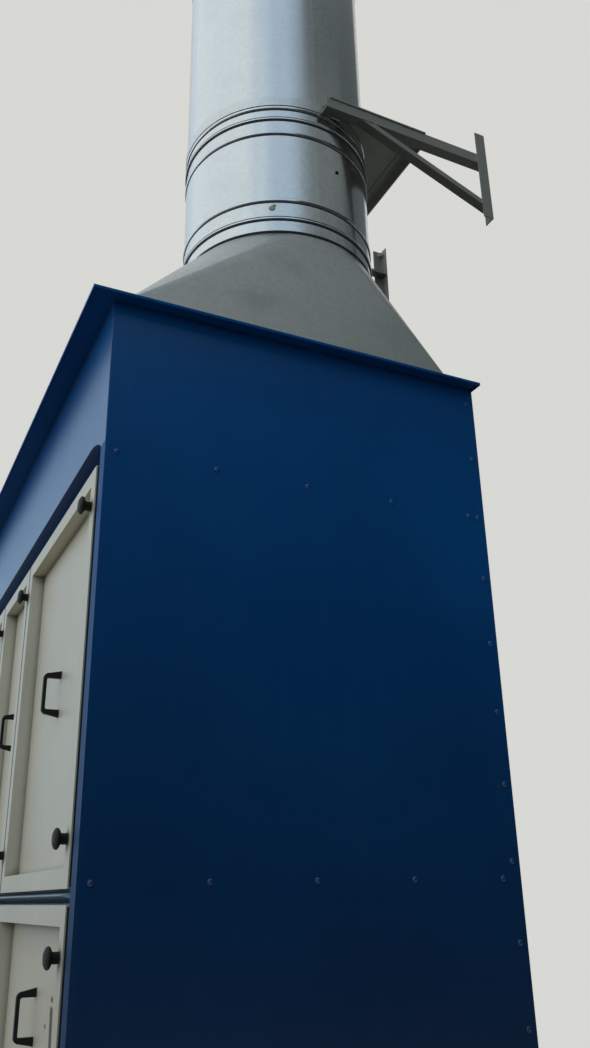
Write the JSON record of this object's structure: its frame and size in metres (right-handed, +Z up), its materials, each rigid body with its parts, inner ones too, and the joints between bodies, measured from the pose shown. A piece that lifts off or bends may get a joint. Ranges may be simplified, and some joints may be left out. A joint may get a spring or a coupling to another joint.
{
  "type": "exhaust air filter cabinet with a roof hood and a wall-braced stack",
  "caption": "Tall sheet-steel filter cabinet with knob-held lift-off doors, a square-to-round roof hood and a round exhaust stack braced to the wall.",
  "frame": {"origin": "on the ground under the middle of the cabinet, at the centre of the four base anchors", "axes": "+X along the cabinet to the end that carries the stack, +Y to the wall, +Z up; the doors face -Y"},
  "size_m": [2.88, 1.755, 7.004],
  "materials": {
    "blue_paint": "satin powder coat",
    "cream_paint": "satin powder coat",
    "black_plastic": "moulded",
    "galvanised_sheet": "galvanised, slightly dulled",
    "bracket_steel": "grey paint"
  },
  "bodies": {
    "root": {"base_rail_front": "blue_paint", "base_rail_rear": "blue_paint", "base_rail_right": "blue_paint", "base_rail_left": "blue_paint", "floor_pan": "blue_paint", "corner_post_front_right": "blue_paint", "corner_post_front_left": "blue_paint", "corner_post_rear_right": "blue_paint", "corner_post_rear_left": "blue_paint", "mullion_right": "blue_paint", "mullion_left": "blue_paint", "rear_mullions": "blue_paint", "end_rails_right": "blue_paint", "end_rails_left": "blue_paint", "end_panel_right": "blue_paint", "end_panel_left": "blue_paint", "back_panel_right": "blue_paint", "back_panel_middle": "blue_paint", "back_panel_left": "blue_paint", "roof_pan": "blue_paint", "header_fascia": "blue_paint", "front_apron": "blue_paint", "mid_rail": "blue_paint", "upper_door_right": "cream_paint", "upper_door_middle": "cream_paint", "upper_door_left": "cream_paint", "lower_door_right": "cream_paint", "lower_door_middle": "cream_paint", "lower_door_left": "cream_paint", "upper_door_handles": "black_plastic", "lower_door_handles": "black_plastic", "upper_door_knobs": "black_plastic", "lower_door_knobs": "black_plastic", "hood_flange": "galvanised_sheet", "hood": "galvanised_sheet", "hood_collar": "galvanised_sheet", "stack_spool": "galvanised_sheet", "stack_lower_section": "galvanised_sheet", "stack_upper_section": "galvanised_sheet", "stack_clamp": "galvanised_sheet", "wall_bracket_right": "bracket_steel", "wall_bracket_left": "bracket_steel", "saddle_plate": "bracket_steel", "saddle_angle": "bracket_steel"}
  },
  "joints": []
}
